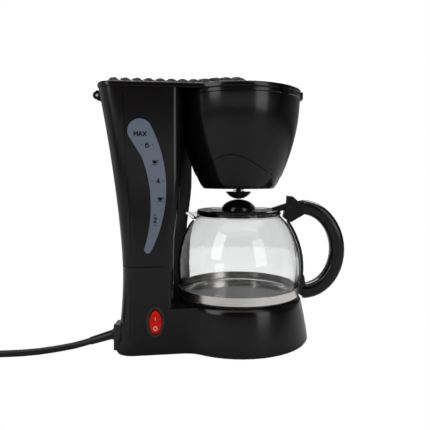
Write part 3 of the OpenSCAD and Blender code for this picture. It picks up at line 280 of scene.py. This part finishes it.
def ramp(value, keys):
    # straight lines through (place, height) pairs
    for (a, u), (b, v) in zip(keys, keys[1:]):
        if value <= b:
            return u + (v - u) * max(0, value - a) / (b - a)
    return keys[-1][1]


def cordPoints(c):
    points = list(c["route"])
    lastTurned = c["radius"][-1][0]
    for turned in range(0, lastTurned + 1, c["coilStep"]):
        r = ramp(turned, c["radius"])
        a = math.radians(c["coilStart"] - turned)
        points.append((c["coil"][0] + r * math.cos(a), c["coil"][1] + r * math.sin(a),
                       ramp(turned, c["height"])))
    points += c["tail"]
    return [Vector((x / 1000 + jugX, y / 1000, z / 1000)) for x, y, z in points]


def makeCord(c):
    points = cordPoints(c)
    curve = roundCurve("mains_cord", points, c["thick"], c["rounding"])
    obj = addObject("mains_cord", curve, Matrix(), "cordBlack", "machine")
    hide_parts("cord_tube", "cord_coil")


makeCord(cord)


panel = {
    "turn": 11,                     # degrees that the near side panel turns from X
    "gauge": (jugX - 0.053, -0.05866, 0),
    "switch": (jugX - 0.0772, -0.063364, 0.0329),
}


def onPanel(start):
    turn = math.radians(panel["turn"])
    along = (math.cos(turn), math.sin(turn), 0)
    outward = (math.sin(turn), -math.cos(turn), 0)
    return Matrix.Translation(start) @ Matrix((along, (0, 0, 1), outward)).transposed().to_4x4()


def moved(x, y, z):
    return Matrix.Translation((x / 1000, y / 1000, z / 1000))


def makePlates(name, outlines, thick, place, finish, body):
    # flat closed outlines in millimetres, given a thickness
    bm = bmesh.new()
    for outline in outlines:
        low = [bm.verts.new((x / 1000, y / 1000, 0)) for x, y in outline]
        high = [bm.verts.new((x / 1000, y / 1000, thick / 1000)) for x, y in outline]
        bm.faces.new(list(reversed(low)))
        bm.faces.new(high)
        for k in range(len(outline)):
            n = (k + 1) % len(outline)
            bm.faces.new((low[k], low[n], high[n], high[k]))
    mesh = bpy.data.meshes.new(name)
    bm.to_mesh(mesh)
    bm.free()
    addObject(name, mesh, place, finish, body)


def bar(x, y, w, h):
    return [(x - w / 2, y - h / 2), (x + w / 2, y - h / 2), (x + w / 2, y + h / 2), (x - w / 2, y + h / 2)]


def arcPoints(x, y, r, start, end, count):
    turns = [math.radians(start + (end - start) * k / (count - 1)) for k in range(count)]
    return [(x + r * math.cos(t), y + r * math.sin(t)) for t in turns]


# strokes of the characters, 4 wide and 5 high about their middle
strokes = {
    "M": [[(-2, -2.5), (-2, 2.5), (0, -0.6), (2, 2.5), (2, -2.5)]],
    "A": [[(-2, -2.5), (0, 2.5), (2, -2.5)], [(-1.3, -0.9), (1.3, -0.9)]],
    "X": [[(-2, -2.5), (2, 2.5)], [(-2, 2.5), (2, -2.5)]],
    "6": [arcPoints(0, -1, 1.5, 150, 510, 13), [(-1.45, -0.7), (-1.1, 0.9), (1.0, 2.5)]],
    "4": [[(0.9, -2.5), (0.9, 2.5), (-1.7, -1.1), (1.9, -1.1)]],
    "2": [[*arcPoints(0, 1.1, 1.4, 160, -30, 8), (-1.5, -2.4), (1.6, -2.4)]],
}

gauge = {                           # in millimetres along and up the panel
    "pen": 0.95,
    "overrun": 0.6,                 # of half the pen's width, past both ends of a stroke
    "letterStep": 5.2,
    "figureOut": 0.6,
    "figureThick": 0.06,
    "markOut": 0.55,
    "markThick": 0.1,
    # text, place and scale
    "words": [("MAX", -38.6, 207.6, 0.78), ("6", -32.4, 197.3, 0.95), ("4", -22.2, 163.8, 0.85),
              ("2", -25.0, 127.4, 0.85)],
    # place, width and height
    "ticks": [(-37.4, 197.3, 1.3, 0.8), (-27.4, 197.3, 1.3, 0.8), (-27.2, 163.8, 2.0, 0.7),
              (-17.6, 163.8, 1.6, 0.7), (-25.0, 132.2, 2.6, 0.6), (-25.0, 122.6, 2.6, 0.6)],
    "cups": [(-25.2, 181.5), (-20.3, 147)],
}

cup = {
    "rim": (2.1, 1.5),              # half its width, and its height
    "bowl": 2.0,
    "bowlRise": 0.3,                # height of the bowl's middle
    "bowlTurn": (190, 350, 9),      # degrees from and to, and points
    "grip": (1.3, 0.8),             # outer and inner radius
    "gripOut": 2.2,
    "gripTurn": (-80, 80, 7),
    "saucer": (-2.4, 5.4, 0.5),     # height, width and thickness
}


def cupMark(x, y, c):
    wide, high = c["rim"]
    middle = y + c["bowlRise"]
    bowl = [(x + wide, y + high), (x - wide, y + high), *arcPoints(x, middle, c["bowl"], *c["bowlTurn"])]
    outer, inner = c["grip"]
    low, up, count = c["gripTurn"]
    grip = [*arcPoints(x + c["gripOut"], middle, outer, low, up, count),
            *arcPoints(x + c["gripOut"], middle, inner, up, low, count)]
    fall, width, thick = c["saucer"]
    return [bowl, grip, bar(x, y + fall, width, thick)]


def strokePlates(character, x, scale, g):
    # pen strokes as flat bars
    for line in strokes[character]:
        for (ax, ay), (bx, by) in zip(line, line[1:]):
            a, b = Vector((x + ax * scale, ay * scale)), Vector((x + bx * scale, by * scale))
            run = (b - a).normalized() * g["pen"] / 2
            side = Vector((-run.y, run.x))
            a, b = a - run * g["overrun"], b + run * g["overrun"]
            yield [tuple(a - side), tuple(b - side), tuple(b + side), tuple(a + side)]


def makeGauge(g):
    start = onPanel(panel["gauge"])
    for k, (text, u, z, scale) in enumerate(g["words"]):
        letters = []
        for i, letter in enumerate(text):
            x = (i - (len(text) - 1) / 2) * g["letterStep"] * scale
            letters += strokePlates(letter, x, scale, g)
        makePlates(f"gauge_figure_{k}", letters, g["figureThick"], start @ moved(u, z, g["figureOut"]),
                   "markInk", "machine")
    outlines = [bar(*tick) for tick in g["ticks"]]
    for place in g["cups"]:
        outlines += cupMark(*place, cup)
    makePlates("gauge_marks", outlines, g["markThick"], start @ moved(0, 0, g["markOut"]),
               "markInk", "machine")


lines = {
    "thick": 0.0006,
    "rounding": 3,
    "tower": (jugX - 0.0925, 0),
    "towerReach": 0.3,              # outside the tower from every side
    "seamHeight": 0.0836,
    "seamAbove": 0.0002,            # the tank's foot is looked for this much above the seam
    "seamTurn": (-69, -291, -2),    # degrees round the tower: from, to and step
    # places in the front view, in pixels
    "arch": [(208.5, 165.5), (212, 161.5), (217, 158), (223, 155.6), (230, 154.4), (237, 155), (244, 157.4),
             (251, 161), (258, 165.4), (265, 170), (271.5, 174.8), (274.5, 177.5)],
    "tankCrease": [(122.6, 92), (123.4, 110), (124.8, 140), (126.6, 170), (128.6, 200), (130.3, 230),
                   (131, 255)],
    "baseCrease": [(131.2, 280), (130.8, 305), (130, 325), (129.2, 340)],
    # name, node, places and share of the thickness
    # the arch and the two creases are painted shade, drawn as dead black lines; the tank's seam round the
    # tower is a dark joint
    "bothSides": [("bucket_arch", "brew_bucket", "arch", 1),
                  ("tank_crease", "tank_shell", "tankCrease", 0.5),
                  ("base_crease", "base_housing", "baseCrease", 0.5)],
}


def surfaceOf(name):
    obj = nodes[name]
    return BVHTree.FromPolygons([obj.matrix_world @ v.co for v in obj.data.vertices],
                                [p.vertices for p in obj.data.polygons])


def seenOn(name, spots):
    # where lines of sight through places of the front view meet the node
    surface = surfaceOf(name)
    ahead, aside = sightAxes(camera)
    middle = camera["frame"] / 2
    level = middle - camera["horizon"]
    for u, v in spots:
        sight = ahead + (aside * (u - middle) + Vector((0, 0, level - v))) / camera["zoom"]
        place = surface.ray_cast(Vector(camera["place"]), sight.normalized())[0]
        if place:
            yield place


def roundTower(c):
    # from one front edge past the back to the other
    surface = surfaceOf("tank_shell")
    above = Vector((0, 0, c["seamAbove"]))
    middle = Vector((*c["tower"], c["seamHeight"])) + above
    first, last, step = c["seamTurn"]
    for turn in range(first, last - 1, step):
        out = Vector((math.cos(math.radians(turn)), math.sin(math.radians(turn)), 0))
        place = surface.ray_cast(middle + out * c["towerReach"], -out)[0]
        if place:
            yield place - above


def makeLine(c, name, points, share):
    curve = roundCurve(name, points, c["thick"] * share, c["rounding"])
    addObject(name, curve, Matrix(), "seamAndShadeBlack", "machine")


def makeLines(c):
    for name, node, spots, share in c["bothSides"]:
        near = list(seenOn(node, c[spots]))
        makeLine(c, name, near, share)
        makeLine(c, name + "_far", [(x, -y, z) for x, y, z in near], share)
    makeLine(c, "tank_seam", list(roundTower(c)), 1)


rocker = {                          # millimetres and degrees
    "pivot": -3.0,                  # depth below the panel
    "tilt": 8.0,
    "slope": 7.6,                   # of each half of its face
    "face": 4.4,
    "markThick": 0.06,
    "line": (0.7, 3.2),
    "lineUp": 3.6,
    "ring": (2.0, 1.25),            # outer and inner radius
    "ringTall": 1.05,
    "ringUp": -5.6,
    "ringSteps": 30,
}


def onRocker(r, y):
    lift = r["face"] + abs(y) * math.tan(math.radians(r["slope"]))
    slope = math.radians(r["slope"]) * (1 if y > 0 else -1)
    return (onPanel(panel["switch"]) @ moved(0, 0, r["pivot"])
            @ Matrix.Rotation(math.radians(r["tilt"]), 4, "X")
            @ moved(0, y, lift) @ Matrix.Rotation(slope, 4, "X"))


def makeSwitchMarks(r):
    makePlates("switch_mark_on", [bar(0, 0, *r["line"])], r["markThick"], onRocker(r, r["lineUp"]),
               "markWhite", "rocker")
    mesh = bpy.data.meshes.new("switch_mark_off")
    bm = bmesh.new()
    count = r["ringSteps"]
    turns = [math.radians(360 / count * k) for k in range(count)]
    outer, inner = [[bm.verts.new((w * math.cos(t) / 1000, w * r["ringTall"] * math.sin(t) / 1000,
                                   r["markThick"] / 1000)) for t in turns] for w in r["ring"]]
    for k in range(count):
        n = (k + 1) % count
        bm.faces.new((outer[k], outer[n], inner[n], inner[k]))
    bm.to_mesh(mesh)
    bm.free()
    addObject("switch_mark_off", mesh, onRocker(r, r["ringUp"]), "markWhite", "rocker")


makeLines(lines)
print("seams and creases drawn")
makeGauge(gauge)
makeSwitchMarks(rocker)
print("figures made")


stage = {
    "floorSize": 8,
    "tableDepth": 0.63,             # the table's far edge, seen only through the glass
    "tableTone": 0.93,
    "wallTone": 0.78,
    # a dark room in front with a pale strip low down, a pale backdrop behind
    "roomFront": 0.03,
    "roomBack": 0.32,
    "roomTurn": (-0.2, 1),          # from front to back, as Y of the direction
    "glow": 0.75,                   # the pale strip
    "glowTop": (0.06, 0.13),        # fades out upwards, as Z of the direction
    "glowEnd": (-0.8, -0.2),        # fades out to the sides, as Y of the direction
}

# place, aim, size and watts
lights = {
    "keyLeft": ((-0.85, -0.95, 0.75), (0, 0, 0.12), (0.5, 0.9), 4.4),
    "fillRight": ((0.92, -1.0, 0.55), (0, 0, 0.12), (0.55, 0.9), 3.6),
    "leftCard": ((-1.3, 0.1, 0.35), (0, 0, 0.15), (1.4, 1.0), 1.9),
    "frontTop": ((0.1, -0.75, 1.15), (0, 0, 0.2), (1.6, 0.5), 1.6),
    "backTop": ((0.1, 0.9, 0.95), (0, 0, 0.2), (1.4, 0.5), 14),
    "top": ((0, -0.1, 1.5), (0, 0, 0), (2.0, 1.6), 11),
}


def addMath(tree, kind, *values):
    node = tree.nodes.new("ShaderNodeMath")
    node.operation = kind
    for socket, value in zip(node.inputs, values):
        if isinstance(value, (int, float)):
            socket.default_value = value
        else:
            tree.links.new(value, socket)
    return node.outputs[0]


def addPathSwitch(tree):
    # the first is 1 for what is seen straight or through glass, the second only for what is seen straight
    path = tree.nodes.new("ShaderNodeLightPath")
    straight = path.outputs["Is Camera Ray"]
    seen = addMath(tree, "MAXIMUM", straight, path.outputs["Is Transmission Ray"])
    notMirrored = addMath(tree, "LESS_THAN", path.outputs["Glossy Depth"], 0.5)
    return addMath(tree, "MULTIPLY", seen, notMirrored), straight


def addMix(tree, factor, first, second, target):
    mix = tree.nodes.new("ShaderNodeMixShader")
    tree.links.new(factor, mix.inputs["Fac"])
    tree.links.new(first, mix.inputs[1])
    tree.links.new(second, mix.inputs[2])
    tree.links.new(mix.outputs[0], target)


def makeFloor(s):
    bpy.ops.mesh.primitive_plane_add(size=s["floorSize"], location=(0, 0, 0))
    floor = bpy.context.object
    floor.name = "floor"
    floor.data.materials.append(materials["paleFloor"])
    tree = materials["paleFloor"].node_tree
    coords = tree.nodes.new("ShaderNodeTexCoord")
    split = tree.nodes.new("ShaderNodeSeparateXYZ")
    glow = tree.nodes.new("ShaderNodeEmission")
    glow.inputs["Color"].default_value = (1, 1, 1, 1)
    tree.links.new(coords.outputs["Object"], split.inputs[0])
    seen, straight = addPathSwitch(tree)
    far = addMath(tree, "GREATER_THAN", split.outputs["Y"], s["tableDepth"])
    dimmed = addMath(tree, "MULTIPLY_ADD", far, s["wallTone"] - s["tableTone"], s["tableTone"])
    tree.links.new(addMath(tree, "MAXIMUM", dimmed, straight), glow.inputs["Strength"])
    addMix(tree, seen, tree.nodes["Principled BSDF"].outputs[0], glow.outputs[0],
           tree.nodes["Material Output"].inputs["Surface"])


def makeLight(name, place, aim, size, power):
    data = bpy.data.lights.new(name, "AREA")
    data.shape = "RECTANGLE"
    data.size, data.size_y = size
    data.energy = power
    obj = bpy.data.objects.new(name, data)
    scene.collection.objects.link(obj)
    obj.location = place
    obj.rotation_mode = "QUATERNION"
    obj.rotation_quaternion = (Vector(aim) - Vector(place)).to_track_quat("-Z", "Y")


def makeWorld(s):
    world = bpy.data.worlds.new("studio")
    scene.world = world
    world.use_nodes = True
    tree = world.node_tree
    tree.nodes.clear()
    out = tree.nodes.new("ShaderNodeOutputWorld")
    dim = tree.nodes.new("ShaderNodeBackground")
    white = tree.nodes.new("ShaderNodeBackground")
    white.inputs["Color"].default_value = (1, 1, 1, 1)
    coords = tree.nodes.new("ShaderNodeTexCoord")
    split = tree.nodes.new("ShaderNodeSeparateXYZ")
    tree.links.new(coords.outputs["Generated"], split.inputs[0])
    room = addRange(tree, split.outputs["Y"], *s["roomTurn"], s["roomFront"], s["roomBack"])
    strip = addMath(tree, "MULTIPLY", addRange(tree, split.outputs["Z"], *s["glowTop"], s["glow"], 0),
                    addRange(tree, split.outputs["Y"], *s["glowEnd"], 1, 0))
    tree.links.new(addMath(tree, "ADD", room, strip), dim.inputs["Strength"])
    seen, straight = addPathSwitch(tree)
    tree.links.new(addRange(tree, straight, 0, 1, s["wallTone"], 1), white.inputs["Strength"])
    addMix(tree, seen, dim.outputs[0], white.outputs[0], out.inputs["Surface"])


makeFloor(stage)
makeWorld(stage)
for name, values in lights.items():
    makeLight(name, *values)
scene.view_settings.view_transform = "Standard"
print("stage set")
